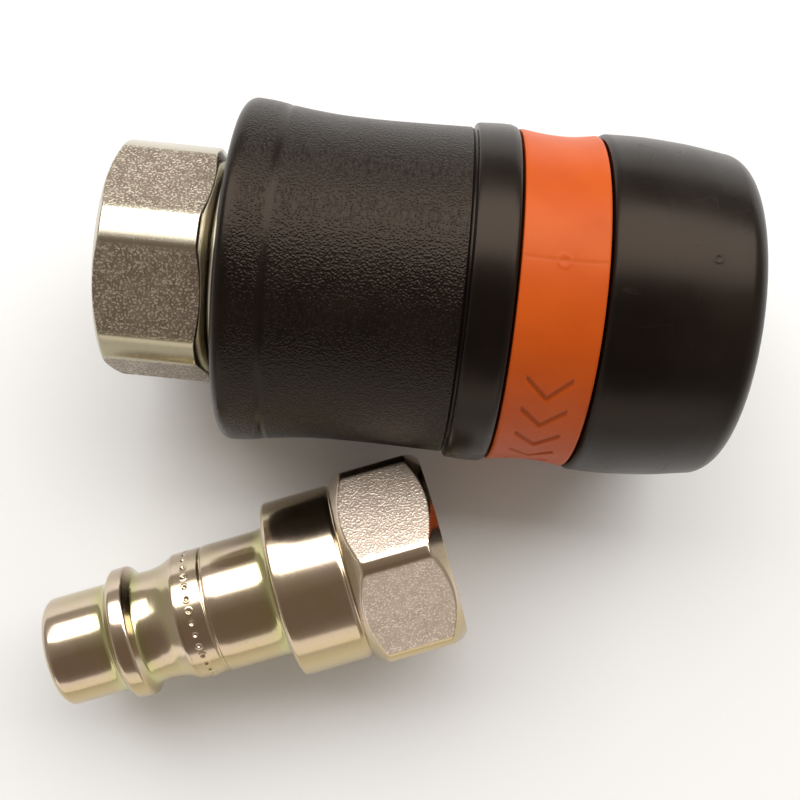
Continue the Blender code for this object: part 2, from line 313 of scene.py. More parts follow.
def forged_hex_finish(name, direction, turned, skin, roughness, matte):
    """Plated steel whose hex sides keep a forged skin. The mesh says where they are.

    turned holds the colours of the turned metal: plain, stained, painted shade in the hollows,
    and a painted yellowish reflection on the side towards -Y. skin holds those of the forged skin:
    low, high, and the painted glints on its tips. matte is the share of the skin's light that
    scatters evenly, with no mirror in it.
    """
    finish = Finish(name, metallic=1.0)
    spot = finish.place()
    forged = finish.named("forged").limited()
    # painted shade: this mark darkens the turned metal's colour in its hollows and grooves
    painted_groove_shade = finish.named("painted_groove_shade").limited()
    # painted reflection: a yellowish tint on the side towards -Y
    painted_reflection_tint = finish.named("painted_reflection_tint").limited()
    rings = lathe_rings(finish, direction, 0.18, 0.8)
    cloud = finish.noise(spot, 6.0, 4.0).step(0.35, 0.68)
    pits = finish.noise(spot, 0.3, 3.0).step(0.62, 0.72)
    lumps = finish.noise(spot, 1.6, 2.0)
    grit = finish.noise(spot, 0.27, 0.0)
    # painted glints: bright base colour on the tips of the forged skin, stronger in some patches; the
    # same mask also lowers the roughness there
    painted_glint_patches = finish.noise(spot, 2.4, 1.0).step(0.30, 0.60) * 0.45 + 0.55
    painted_glint_flecks = grit.step(0.56, 0.66) * painted_glint_patches
    turned_tone = finish.mix(cloud, turned[0], turned[1])
    turned_tone = finish.mix(painted_reflection_tint, turned_tone, turned[3])
    turned_tone = finish.mix(painted_groove_shade * 0.8, turned_tone, turned[2])
    turned_tone = finish.mix(pits * 0.3 * (1 - forged), turned_tone, rgb(0.22, 0.17, 0.12))
    forged_tone = finish.mix(lumps.step(0.34, 0.66), skin[0], skin[1])
    # the painted glints go into the skin's colour
    forged_tone = finish.mix(painted_glint_flecks * 0.9, forged_tone, skin[2])
    finish.paint(base_color=finish.mix(forged, turned_tone, forged_tone))
    skin_roughness = forged * (0.33 - painted_glint_flecks * 0.14)
    turned_roughness = (1 - forged) * rings * 0.1
    finish.paint(roughness=skin_roughness + turned_roughness + pits * 0.1 + roughness)
    finish.paint(metallic=1 - forged * matte)
    skin_height = (grit.step(0.40, 0.70) * 0.7 + lumps * 0.3) * forged
    finish.bump(skin_height + rings * (1 - forged) * 0.05, 0.06, 0.9)
    return finish.material


print("a forged skin follows the mesh's marks")

# %% The metals
# The third turned colour is painted shade for the grooves, the fourth a painted reflection tint for the
# side towards -Y, and the third skin colour is painted glints.
ZINC_TURNED = (
    rgb(0.60, 0.555, 0.46), rgb(0.54, 0.51, 0.41), rgb(0.36, 0.32, 0.24), rgb(0.42, 0.38, 0.27),
)
ZINC_SKIN = (rgb(0.235, 0.188, 0.148), rgb(0.30, 0.25, 0.20), rgb(0.76, 0.69, 0.58))
PLUG_TURNED = (
    rgb(0.63, 0.51, 0.42), rgb(0.58, 0.50, 0.34), rgb(0.52, 0.50, 0.24), rgb(0.52, 0.41, 0.22),
)
PLUG_SKIN = (rgb(0.60, 0.495, 0.415), rgb(0.70, 0.585, 0.495), rgb(1.0, 0.91, 0.80))
zinc = forged_hex_finish("zinc_steel", SOCKET_LINE, ZINC_TURNED, ZINC_SKIN, 0.16, 0.05)
plated = forged_hex_finish("plug_steel", PLUG_LINE, PLUG_TURNED, PLUG_SKIN, 0.11, 0.36)
steel = turned_finish("turned_steel", rgb(0.74, 0.71, 0.64), rgb(0.66, 0.62, 0.52), 0.22)
spring_wire = turned_finish("spring_steel", rgb(0.36, 0.36, 0.38), rgb(0.28, 0.27, 0.27), 0.30)
ball_steel = turned_finish("ball_steel", rgb(0.80, 0.80, 0.80), rgb(0.74, 0.74, 0.73), 0.06, 0.0)
brass = turned_finish("brass", rgb(0.76, 0.55, 0.24), rgb(0.62, 0.42, 0.18), 0.22)
metals = (zinc, plated, steel, spring_wire, ball_steel, brass)
print("metals:", ", ".join(metal.name for metal in metals))

# %% [markdown]
# ## Plastics and rubber
# The rear cover carries a coarse spark-eroded grain, which the mould left everywhere but on the
# smooth band next to the orange ring. Distance along the socket is enough to say where the grain
# starts and stops. The cap is smooth and picks up hair-fine scratches.

# %% Black plastics
WARM_SHEEN = rgb(1.0, 0.80, 0.66)
GRAIN_START = 17.0
GRAIN_CREASE = 22.0
GRAIN_END = 45.9


def scratches(finish, spot, stretch):
    """Thin straight marks: noise pulled out along one direction and cut near its middle."""
    pulled = finish.node("ShaderNodeMapping", {}, {"Vector": spot, "Scale": stretch})
    return 1 - abs(finish.noise(pulled, 6.0, 1.0) - 0.5).step(0.0, 0.006)


def grip_finish():
    """Black plastic whose grain is bumps of two sizes inside a zone, fainter along one crease."""
    finish = Finish("grip_plastic", specular_ior_level=0.28, specular_tint=WARM_SHEEN)
    spot = finish.place()
    x = (finish.part(spot, "X") - rear_x) / MM
    zone = x.step(GRAIN_START, GRAIN_START + 1.5) * x.step(GRAIN_END + 0.1, GRAIN_END - 0.3)
    zone = zone * (1 - 0.8 * (1 - abs(x - GRAIN_CREASE).step(0.25, 0.7)))
    pebble = finish.cells(spot, 0.34).step(0.66, 0.1)
    grain = pebble * 0.6 + finish.noise(spot, 0.16, 1.0) * 0.4
    fine = finish.noise(spot, 0.12, 2.0)
    dust = finish.noise(spot, 9.0, 4.0).step(0.45, 0.75)
    finish.paint(base_color=finish.mix(dust, rgb(0.0032, 0.0023, 0.0019), rgb(0.0062, 0.0044, 0.0035)))
    finish.paint(roughness=0.27 + zone * 0.02 + dust * 0.06)
    finish.bump(zone * grain + fine * 0.04, 0.105, 0.9)
    return finish.material


def cap_finish():
    """Smooth black plastic with dust and two directions of hair-fine scratches."""
    finish = Finish("cap_plastic", specular_ior_level=0.26, specular_tint=WARM_SHEEN)
    spot = finish.place()
    marks = scratches(finish, spot, (1.0, 0.25, 0.6)) * finish.noise(spot, 5.0, 2.0).step(0.5, 0.62)
    lengthwise = scratches(finish, spot, (0.3, 1.0, 1.0))
    marks = marks + lengthwise * finish.noise(spot, 4.0, 2.0).step(0.54, 0.66)
    marks = marks.limited()
    dust = finish.noise(spot, 11.0, 4.0).step(0.4, 0.75)
    skin = finish.noise(spot, 0.2, 2.0)
    finish.paint(base_color=finish.mix(dust, rgb(0.0034, 0.0024, 0.0020), rgb(0.0072, 0.0052, 0.0041)))
    finish.paint(roughness=0.27 + dust * 0.08 + marks * 0.14)
    finish.bump(skin * 0.15 + marks * 0.5, 0.012, 0.7)
    return finish.material


grip_plastic = grip_finish()
cap_plastic = cap_finish()
print("black plastics:", grip_plastic.name, cap_plastic.name)

# %% Orange plastic and rubber


def band_finish():
    """Orange plastic with painted shade that darkens its grooves. Some light passes through its skin.
    """
    finish = Finish(
        "band_plastic",
        specular_ior_level=0.24,
        specular_tint=WARM_SHEEN,
        subsurface_weight=0.08,
        subsurface_scale=0.4 * MM,
    )
    spot = finish.place()
    flow = finish.noise(spot, 8.0, 3.0).step(0.35, 0.7)
    skin = finish.noise(spot, 0.25, 2.0)
    # painted shade: the sunk chevrons and the seam are painted darker
    low = finish.named("sunk").limited()
    orange = finish.mix(flow, rgb(0.53, 0.088, 0.009), rgb(0.48, 0.072, 0.007))
    finish.paint(base_color=finish.mix(low * 0.55, orange, rgb(0.30, 0.06, 0.008)))
    finish.paint(roughness=0.36 + flow * 0.06 + low * 0.1)
    finish.bump(skin, 0.010, 0.5)
    return finish.material


def rubber_finish():
    """Black rubber with a faint grey bloom."""
    finish = Finish("seal_rubber")
    spot = finish.place()
    bloom = finish.noise(spot, 1.2, 4.0).step(0.4, 0.7)
    finish.paint(base_color=finish.mix(bloom, rgb(0.012, 0.012, 0.012), rgb(0.026, 0.025, 0.024)))
    finish.paint(roughness=0.42 + bloom * 0.15)
    finish.bump(finish.noise(spot, 0.15, 2.0), 0.006, 0.5)
    return finish.material


band_plastic = band_finish()
rubber = rubber_finish()
print("orange plastic and rubber:", band_plastic.name, rubber.name)

# %% [markdown]
# ## Turning a profile
# A turned piece is one closed outline carried round the axis. The outline is given by its corners,
# each with the radius of its rounding, because no real edge is perfectly sharp. Working on whole
# arrays keeps it quick: a rounding is one formula for all the corners at once.

# %% Corners and curves


def rounded(corners, steps=4):
    """A closed outline with its corners rounded.

    Each corner is (along, radius, rounding). The points run along a quadratic curve that leaves
    one side at the rounding's distance from the corner and joins the other side there.
    """
    table = np.array(corners, float)
    spot, size = table[:, :2], table[:, 2:]
    before, after = np.roll(spot, 1, 0) - spot, np.roll(spot, -1, 0) - spot
    lengths = [np.linalg.norm(side, axis=1, keepdims=True) for side in (before, after)]
    cut = np.minimum(size, np.minimum(*lengths) * 0.45)
    start, end = spot + before / lengths[0] * cut, spot + after / lengths[1] * cut
    t = np.linspace(0, 1, steps)[None, :, None]
    start, spot, end = start[:, None], spot[:, None], end[:, None]
    return ((1 - t) ** 2 * start + 2 * t * (1 - t) * spot + t**2 * end).reshape(-1, 2)


def smooth_curve(points, steps):
    """Points on the Catmull-Rom curve through the given ones, each with a rounding of 0.

    Between two points it is the cubic whose slope at each is half the step between the
    neighbours on either side.
    """
    p = np.array([points[0], *points, points[-1]], float)
    a, b, c, d = p[:-3, None], p[1:-2, None], p[2:-1, None], p[3:, None]
    t = (np.arange(steps) / steps)[None, :, None]
    bend = (2 * a - 5 * b + 4 * c - d) * t**2 + (3 * b - a - 3 * c + d) * t**3
    line = (b + ((c - a) * t + bend) / 2).reshape(-1, 2)
    line = np.vstack([line, p[-1]])
    return [(x, r, 0.0) for x, r in line]


def arc_corners(centre, radius, start, end, steps):
    """Points on an arc, with angles in degrees from the axis's direction, rounding 0."""
    a = np.radians(np.linspace(start, end, steps))
    line = np.array(centre) + radius * np.stack([np.cos(a), np.sin(a)], axis=-1)
    return [(x, r, 0.0) for x, r in line]


square = [(0, 1, 0.2), (0, 2, 0.2), (1, 2, 0.2), (1, 1, 0.2)]
print("a rounded square has", len(rounded(square)), "points")

# %% Spacing along and around


def densify(outline, spacing, zones=((-1e3, 1e3),), low=0.0, high=1e3):
    """Adds points along the outline so that none are further apart than spacing inside the zones.

    The zones are along the axis, and low and high are the radii that they reach between.
    """
    loop = np.vstack([outline, outline[:1]])
    loop = loop[np.r_[True, np.linalg.norm(np.diff(loop, axis=0), axis=1) > 1e-6]]
    reach = np.r_[0, np.cumsum(np.linalg.norm(np.diff(loop, axis=0), axis=1))]
    extra = np.arange(0, reach[-1], spacing)
    x = np.interp(extra, reach, loop[:, 0])
    radius = np.interp(extra, reach, loop[:, 1])
    inside = np.any([(x > start) & (x < end) for start, end in zones], axis=0)
    inside &= (radius > low) & (radius < high)
    every = np.unique(np.round(np.r_[reach[:-1], extra[inside]], 5))
    every = every[np.r_[True, np.diff(every) > 0.02]]
    return np.stack([np.interp(every, reach, loop[:, k]) for k in (0, 1)], axis=-1)


def soft_min(a, b, blend):
    """The smaller of a and b, with the corner between them rounded over about blend."""
    share = np.clip(0.5 + 0.5 * (b - a) / blend, 0, 1)
    return b * (1 - share) + a * share - blend * share * (1 - share)


def around(count, extra=()):
    """Angles round the axis, from straight up towards -Y, with extra ones worked in."""
    even = np.arange(count) * 2 * np.pi / count
    return np.unique(np.round(np.r_[even, np.mod(extra, 2 * np.pi)], 4))


print("even angles for a quarter turn each:", around(4))

# %% Grids as meshes


def new_piece(name, points, faces, place, material):
    """A smooth mesh in one material. Its points, in millimetres round an axis, go to their place."""
    turn = np.array(place)
    points = np.asarray(points).reshape(-1, 3) * MM @ turn[:3, :3].T + turn[:3, 3]
    mesh = bpy.data.meshes.new(name)
    mesh.from_pydata(points, [], faces)
    mesh.materials.append(material)
    mesh.shade_smooth()
    piece = bpy.data.objects.new(name, mesh)
    bpy.context.scene.collection.objects.link(piece)
    return piece


def capped_grid(rows, columns):
    """Faces of a tube: each row is a closed ring, and one face closes each end."""
    index = np.arange(rows * columns).reshape(rows, columns)
    right = np.roll(index, -1, 1)
    quads = np.stack([index[:-1], right[:-1], right[1:], index[1:]], axis=-1).reshape(-1, 4)
    return quads.tolist() + [index[0][::-1].tolist(), index[-1].tolist()]


def shell(name, along, radius, angles, place, material, marks=None):
    """A closed grid as a mesh: row i goes round the axis at along[i] with radius[i, j] at angle j.

    Both directions wrap. The signed volume, a sum of triple products over the triangles, says
    whether the faces point out, and turns them round if they don't.
    """
    rows, columns = radius.shape
    x = np.broadcast_to(along[:, None], radius.shape)
    points = np.stack([x, -radius * np.sin(angles), radius * np.cos(angles)], axis=-1)
    points = points.reshape(-1, 3)
    index = np.arange(rows * columns).reshape(rows, columns)
    right, down = np.roll(index, -1, 1), np.roll(index, -1, 0)
    quads = np.stack([index, right, np.roll(right, -1, 0), down], axis=-1).reshape(-1, 4)
    corners = points[quads]
    volume = sum(
        np.einsum("ij,ij->", corners[:, 0], np.cross(corners[:, k], corners[:, k + 1]))
        for k in (1, 2)
    )
    if volume < 0:
        quads = quads[:, ::-1]
    piece = new_piece(name, points, quads, place, material)
    for mark, values in (marks or {}).items():
        layer = piece.data.attributes.new(mark, "FLOAT", "POINT")
        values = np.broadcast_to(values, radius.shape).astype(np.float32)
        layer.data.foreach_set("value", values.ravel())
    print(f"{name}: {rows} x {columns} points")
    return piece


def sharpen(piece, degrees=32.0):
    """Keeps the edges crisp where the surface turns by more than this."""
    piece.data.set_sharp_from_angle(angle=math.radians(degrees))
    return piece


def settle(piece, body, node):
    """The piece moves with a body and stands for a node, which is hidden."""
    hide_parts(node)
    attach(piece, body)
    return piece


def lathe(name, corners, columns, place, material):
    """A plain turned piece: the outline is the same all the way round."""
    line = densify(rounded(corners), 1.0)
    radius = np.repeat(line[:, 1:], columns, axis=1)
    return sharpen(shell(name, line[:, 0], radius, around(columns), place, material))


print("a tube of two rings of four has", len(capped_grid(2, 4)), "faces")

# %% [markdown]
# ## The hex and its thread
# A spanner hex is turned down at its corners, so its surface is the nearer of two: the turned
# outline, and the side of a hexagon. Taking the smaller radius of the two at every point of one
# grid gives the flats, the turned corners and the wavy lines where the chamfers cut them, all at
# once. The thread is a groove whose place moves on by one pitch for each turn.

# %% Hex and thread formulas
PITCH = 1.814
THREAD_DEPTH = 1.16
EDGE = 0.28
HOLLOW_REACH = 1.6
HOLLOW_DEPTH = 0.45


def hex_reach(angles, across_flats, turn):
    """Distance to a hexagon's side: half the spanner size over the cosine of the angle off it."""
    off = np.mod(angles - turn + np.pi / 6, np.pi / 3) - np.pi / 6
    return across_flats / 2 / np.cos(off)


def edge_angles(across_flats, corner, turn):
    """Angles close to the lines where the flats meet the turned corners."""
    side = np.arccos(across_flats / 2 / corner)
    near = np.radians([-1.4, -0.8, -0.4, 0.0, 0.4, 0.8, 1.4])
    ends = np.array([-side, side])[:, None] + near
    return (np.arange(6)[:, None, None] * np.pi / 3 + ends + turn).ravel()


def thread_groove(x, angles, start, end):
    """Depth of a V groove with a flat crest, faded out over half a pitch at either end."""
    phase = np.mod(x / PITCH + angles / (2 * np.pi), 1.0)
    vee = np.clip(1.25 - 2.5 * np.abs(phase - 0.5), 0, 1)
    run = PITCH * 0.5
    fade = np.clip((x - start) / run, 0, 1) * np.clip((end - x) / run, 0, 1)
    return THREAD_DEPTH * vee * fade


# The result sets how strongly painted shade darkens the grooves of the turned metal.
def groove_shade_mask(line, lowest):
    """How far each outer point lies below the average radius of those within a short reach."""
    x, radius = line.T
    outer = radius > lowest
    near = (np.abs(x[:, None] - x) < HOLLOW_REACH) & outer[:, None] & outer
    average = (near * radius).sum(1) / np.maximum(near.sum(1), 1)
    return np.clip((average - radius) / HOLLOW_DEPTH, 0, 1)


def painted_tint_side(angles):
    """1 on the side towards -Y, for a painted yellowish reflection: a ramp on the sine of the angle."""
    return np.clip((np.sin(angles) - 0.42) / 0.3, 0, 1)[None]


def hex_piece(name, line, angles, across_flats, turn, thread, bore, place, material):
    """A turned piece with a hex and a threaded bore, marked with where its finish changes.

    Its radius is the smaller of the turned outline and the hexagon's side, less in the bore,
    which only the thread cuts. The forged mark is 1 where the side is the smaller.
    """
    turned = np.repeat(line[:, 1:], len(angles), axis=1)
    side = hex_reach(angles, across_flats, turn)[None]
    radius = np.where(turned < bore + 1.0, turned, soft_min(turned, side, EDGE))
    inner = np.abs(turned - bore) < 0.02
    radius = radius + inner * thread_groove(line[:, :1], angles, *thread)
    marks = {
        "forged": np.clip((turned - side - 0.03) / 0.2, 0, 1),
        # painted shade: darker colour in the grooves
        "painted_groove_shade": groove_shade_mask(line, bore - 2.5)[:, None],
        # painted reflection: a yellowish tint on the side towards -Y
        "painted_reflection_tint": painted_tint_side(angles),
    }
    return shell(name, line[:, 0], radius, angles, place, material, marks)


print("a 30 mm hex reaches", round(float(hex_reach(np.pi / 6, 30.0, 0.0)), 2), "mm at its corners")

# %% Hex adapter at the back of the socket
SOCKET_FLATS = 30.0
SOCKET_CORNER = 16.2
SOCKET_HEX_TURN = math.radians(22.5)
BORE = 9.3
adapter_line = rounded([
    (0.0, 10.6, 0.15), (0.0, 14.9, 0.12), (0.75, SOCKET_CORNER, 0.3), (12.9, SOCKET_CORNER, 0.3),
    (14.0, 14.3, 0.1), (14.2, 13.4, 0.1), (14.2, 12.2, 0.1), (24.7, 12.2, 0.1), (24.7, 10.9, 0.1),
    (26.7, 10.9, 0.1), (26.7, 12.2, 0.1), (27.6, 12.2, 0.2), (27.6, BORE, 0.2), (1.3, BORE, 0.1),
])
adapter_line = densify(adapter_line, 0.16, ((0.0, 1.6), (11.8, 14.3)), low=11.0)
adapter_line = densify(adapter_line, 0.2, ((1.2, 13.6),), high=BORE + 0.5)
adapter_line = densify(adapter_line, 1.5)
adapter = hex_piece(
    "adapter_hex",
    adapter_line,
    around(216, edge_angles(SOCKET_FLATS, SOCKET_CORNER, SOCKET_HEX_TURN)),
    SOCKET_FLATS,
    SOCKET_HEX_TURN,
    (1.5, 13.2),
    BORE,
    socket_place,
    zinc,
)
settle(sharpen(adapter, 40.0), "socket_frame", "hex_adapter")

# %% [markdown]
# ## The plug
# The plug is one turned piece: nose, locking ridge, neck, a band with a row of punched dots, body,
# collar and hex. Its outline has a shallow seat where the band of dots goes.

# %% Plug
PLUG_FLATS = 27.0
PLUG_CORNER = 15.1
PLUG_HEX_TURN = math.radians(24.0)
DOT_BAND = (19.3, 22.5)
DOT_BAND_RADIUS = 9.1
DOT_SEAT = 8.55
plug_corners = [
    (0.0, 5.2, 0.1), (0.0, 7.1, 0.15), (0.6, 7.7, 0.5), (8.5, 7.7, 0.4), (9.2, 8.1, 0.5),
    (9.8, 9.1, 0.3), (10.1, 9.35, 0.2), (11.9, 9.35, 0.2), (12.2, 9.15, 0.2), (12.9, 8.05, 0.5),
    (13.5, 7.9, 0.6),
    *smooth_curve([(15.2, 7.9), (16.9, 8.2), (18.4, 8.85), (18.9, 9.1)], 4),
    (DOT_BAND[0], DOT_BAND_RADIUS, 0.02), (DOT_BAND[0], DOT_SEAT, 0.02),
    (DOT_BAND[1], DOT_SEAT, 0.02), (DOT_BAND[1], DOT_BAND_RADIUS, 0.02),
    (22.9, 9.1, 0.1), (23.05, 8.9, 0.1), (23.35, 8.9, 0.1), (23.5, 9.2, 0.1), (31.5, 9.2, 0.6),
    (32.6, 9.6, 0.6), (33.0, 10.5, 0.6), (33.1, 12.3, 0.2), (33.5, 12.7, 0.2), (42.6, 12.7, 0.2),
    (43.0, 12.4, 0.2), (45.4, PLUG_CORNER, 0.3), (54.6, PLUG_CORNER, 0.3), (PLUG_LENGTH, 12.9, 0.15),
    (PLUG_LENGTH, 10.6, 0.15), (55.5, BORE, 0.1), (42.0, BORE, 0.1), (39.5, 5.2, 0.3),
]
plug_line = densify(rounded(plug_corners, 3), 0.16, ((43.0, 46.6), (53.8, 56.8)), low=11.0)
plug_line = densify(plug_line, 0.25, ((43.2, 55.8),), high=BORE + 0.5)
plug_line = densify(plug_line, 1.5)
plug = hex_piece(
    "plug_steel_body",
    plug_line,
    around(240, edge_angles(PLUG_FLATS, PLUG_CORNER, PLUG_HEX_TURN)),
    PLUG_FLATS,
    PLUG_HEX_TURN,
    (43.5, 55.4),
    BORE,
    plug_place,
    plated,
)
settle(sharpen(plug, 40.0), "plug", "plug_body")

# %% [markdown]
# ## The row of punched dots
# The dots need a much finer grid than the rest of the plug, so the band that carries them is a
# ring of its own that sits flush in its seat. Each dot is a real dimple with a low rim that the
# punch pushed up.

# %% Band of punched dots
DOT_COUNT = 34
DOT_X = 20.95
DOT_RADIUS = 0.36
DOT_DEPTH = 0.2


def punched_dots(x, angles):
    """A ring of dimples. Each is a bell of the distance to its middle, less a wider, lower rim."""
    spacing = 2 * np.pi / DOT_COUNT
    off = (np.mod(angles + spacing / 2, spacing) - spacing / 2) * DOT_BAND_RADIUS
    away = np.sqrt((x - DOT_X) ** 2 + off**2) / DOT_RADIUS
    return DOT_DEPTH * np.exp(-((away / 0.75) ** 4)) - 0.03 * np.exp(-((away - 1.25) ** 2) * 12)


dot_corners = [
    (DOT_BAND[0], DOT_SEAT, 0.0), (DOT_BAND[1], DOT_SEAT, 0.0),
    (DOT_BAND[1], DOT_BAND_RADIUS, 0.0), (DOT_BAND[0], DOT_BAND_RADIUS, 0.0),
]
dot_line = densify(rounded(dot_corners, 2), 0.07, ((DOT_X - 0.8, DOT_X + 0.8),), low=DOT_SEAT + 0.1)
dot_angles = around(DOT_COUNT * 22)
dot_top = dot_line[:, 1:] > DOT_SEAT + 0.1
dot_radius = dot_line[:, 1:] - punched_dots(dot_line[:, :1], dot_angles) * dot_top
dot_band = shell(
    "plug_dot_band",
    dot_line[:, 0],
    dot_radius,
    dot_angles,
    plug_place,
    plated,
    # painted reflection: the same yellowish tint on the side towards -Y as on the rest of the plug
    {"forged": 0.0, "painted_groove_shade": 0.0, "painted_reflection_tint": painted_tint_side(dot_angles)},
)
sharpen(dot_band, 60.0)
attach(dot_band, "plug")

# %% [markdown]
# ## The covers
# The rear cover flares at its back, where the fingers pull on it, and narrows to a waist. The
# orange ring sits a little lower than its neighbours. The front cap closes in to a round edge. All
# three are plain turned shapes, so their outlines do the work.

# %% Rear grip
grip_corners = [
    (16.0, 16.7, 0.3),
    *arc_corners((17.6, 21.6), 1.6, 180, 92, 9),
    *smooth_curve([(19.2, 23.1), (20.6, 22.93), (21.7, 22.72)], 3),
    (22.0, 22.6, 0.0),
    *smooth_curve(
        [(22.3, 22.64), (25.2, 22.3), (28.7, 22.03), (33.3, 21.93), (38.0, 21.98), (45.8, 22.18)], 5
    ),
    (46.1, 22.0, 0.1),
    (46.35, 22.0, 0.1),
    (46.5, 22.72, 0.15),
    *smooth_curve([(46.9, 22.85), (49.4, 22.99), (51.0, 22.97)], 4),
    (51.9, 22.7, 0.4),
    (51.9, 19.4, 0.2),
    (57.2, 19.4, 0.2),
    (57.2, 16.3, 0.2),
    (51.0, 16.3, 0.3),
    (50.0, 19.0, 0.5),
    (19.0, 19.0, 0.5),
    (17.6, 16.7, 0.4),
]
grip = lathe("grip_cover", grip_corners, 200, socket_place, grip_plastic)
settle(grip, "sleeve", "rear_grip")

# %% Front cap
CAP_GATE = (75.4, -0.175)


def pock(x, angles, centre, reach, size, depth):
    """The witness of a moulding gate: a low ring with a dimple in its middle.

    Both are bells of the distance to the centre, the ring's about the circle of that size.
    """
    off = (np.mod(angles - centre[1] + np.pi, 2 * np.pi) - np.pi) * reach
    distance = np.sqrt((x - centre[0]) ** 2 + off**2)
    return depth * (np.exp(-((distance - size) ** 2) / 0.03) - 0.8 * np.exp(-(distance**2) / 0.05))


cap_corners = [
    (57.5, 16.3, 0.2), (57.5, 19.4, 0.2), (63.0, 19.4, 0.2), (63.0, 22.6, 0.4),
    *smooth_curve([(63.6, 22.95), (68.5, 23.05), (74.2, 22.7), (78.0, 22.2)], 6),
    *arc_corners((79.2, 18.6), 3.4, 78, 2, 12),
    (82.6, 17.8, 0.2), (82.6, 15.2, 0.4), (82.2, 14.6, 0.4), (81.2, 13.7, 0.4), (77.1, 13.7, 0.2),
    (77.1, 16.3, 0.2),
]
cap_line = densify(rounded(cap_corners), 0.2, ((74.2, 76.6),), low=20.0)
cap_angles = around(180, CAP_GATE[1] + np.radians(np.linspace(-3, 3, 21)))
cap_witness = pock(cap_line[:, :1], cap_angles, CAP_GATE, 22.5, 0.5, 0.05)
cap_radius = cap_line[:, 1:] + cap_witness * (cap_line[:, 1:] > 20)
cap = shell("cap_cover", cap_line[:, 0], cap_radius, cap_angles, socket_place, cap_plastic)
settle(sharpen(cap), "sleeve", "front_cap")

# %% [markdown]
# ## The orange ring
# The ring has a fine parting line and the witness of its gate. On one side it carries sunk marks.
# Plain chevrons that point to the mouth stand there, and they are cut into the grid, so they are
# real grooves with a floor and two walls.

# %% Marker band
SEAM_ANGLE = -0.085
BAND_GATE = (57.3, SEAM_ANGLE)
CHEVRONS = np.radians([36.0, 48.0, 60.0, 72.0, 84.0])
CHEVRON_X = 57.4
CHEVRON_HALF = 2.9
CHEVRON_TIP = 1.9
CHEVRON_SLOPE = 1.05
STROKE = 0.34
BAND_REACH = 22.3


def chevrons(x, angles):
    """1 on the strokes: near the bent line whose arc falls by the slope away from the middle."""
    mark = np.zeros(np.broadcast_shapes(x.shape, angles.shape))
    away = np.abs(x - CHEVRON_X)
    within = np.clip((CHEVRON_HALF - away) / 0.12, 0, 1)
    for centre in CHEVRONS:
        arc = (angles - centre) * BAND_REACH
        distance = np.abs(arc - CHEVRON_TIP + away * CHEVRON_SLOPE) / math.hypot(1, CHEVRON_SLOPE)
        mark = np.maximum(mark, np.clip((STROKE - distance) / 0.12, 0, 1) * within)
    return mark


band_corners = [
    (52.2, 19.7, 0.2), (52.2, 22.5, 0.25),
    *smooth_curve([(52.6, 22.55), (55.6, 22.2), (58.3, 22.12), (60.5, 22.3), (62.3, 22.6)], 5),
    (62.7, 22.5, 0.25), (62.7, 19.7, 0.2),
]
band_line = densify(rounded(band_corners), 0.17, low=21.5)
band_angles = around(640)
band_x, band_r = band_line[:, :1], band_line[:, 1:]
outside = (band_r > 21.5) & (band_x > 52.4) & (band_x < 62.5)
sunk = chevrons(band_x, band_angles) * outside
seam_off = np.abs(band_angles - (SEAM_ANGLE % (2 * np.pi))) * BAND_REACH
seam = np.clip(1 - seam_off / 0.16, 0, 1) * outside
witness = pock(band_x, band_angles, BAND_GATE, BAND_REACH, 0.75, 0.06) * outside
band_radius = band_r - sunk * 0.24 - seam * 0.07 + witness
band = shell(
    "marker_ring",
    band_line[:, 0],
    band_radius,
    band_angles,
    socket_place,
    band_plastic,
    # painted shade: this mark darkens the grooves and the seam
    {"sunk": np.clip(sunk + seam * 0.8, 0, 1)},
)
settle(sharpen(band, 50.0), "sleeve", "marker_band")

# %% [markdown]
# ## The steel body and its balls
# Through the mouth the bore shows the six balls that hold the plug, the seal and the poppet. The
# body is turned like the rest, and six round holes are then cut through its wall for the balls.

# %% Barrel with its ball holes
BALL_X = 66.3
BALL_CENTRE = 10.15
BALL_RADIUS = 2.25
BALL_COUNT = 6
BALL_TURNS = 2 * np.pi * np.arange(BALL_COUNT) / BALL_COUNT
HOLE_RADIUS = 2.38
HOLE_STEPS = 32
HOLE_REACH = (8.6, 13.2)
barrel_corners = [
    (14.5, 12.5, 0.1), (14.5, 15.0, 0.2), (14.8, 15.36, 0.25), (17.6, 15.36, 0.2), (18.0, 14.9, 0.1),
    (40.0, 14.9, 0.3), (40.0, 11.9, 0.1), (77.0, 11.9, 0.1), (77.0, 11.0, 0.1), (78.6, 11.0, 0.1),
    (78.6, 11.9, 0.1), (80.3, 11.9, 0.2), (80.8, 11.4, 0.2), (80.8, 10.4, 0.2), (79.7, 9.5, 0.3),
    (61.2, 9.5, 0.2), (60.2, 7.9, 0.3), (58.2, 7.9, 0.1), (58.2, 10.0, 0.1), (55.2, 10.0, 0.1),
    (55.2, 7.9, 0.1), (50.0, 7.9, 0.2), (50.0, 9.8, 0.1), (30.5, 9.8, 0.1), (30.5, 12.5, 0.1),
]
body = lathe("steel_barrel", barrel_corners, 144, socket_place, steel)


def ball_hole_rods():
    """Round rods that point out from the axis, as one mesh for the Boolean to take away."""
    turn = np.linspace(0, 2 * np.pi, HOLE_STEPS, endpoint=False)
    along, across = BALL_X + HOLE_RADIUS * np.cos(turn), HOLE_RADIUS * np.sin(turn)
    points, faces = [], []
    for rod, a in enumerate(BALL_TURNS):
        for reach in HOLE_REACH:
            y = -np.sin(a) * reach + np.cos(a) * across
            z = np.cos(a) * reach + np.sin(a) * across
            points.append(np.stack([along, y, z], axis=-1))
        faces += [[p + 2 * HOLE_STEPS * rod for p in face] for face in capped_grid(2, HOLE_STEPS)]
    return new_piece("ball_hole_rods", points, faces, socket_place, steel)


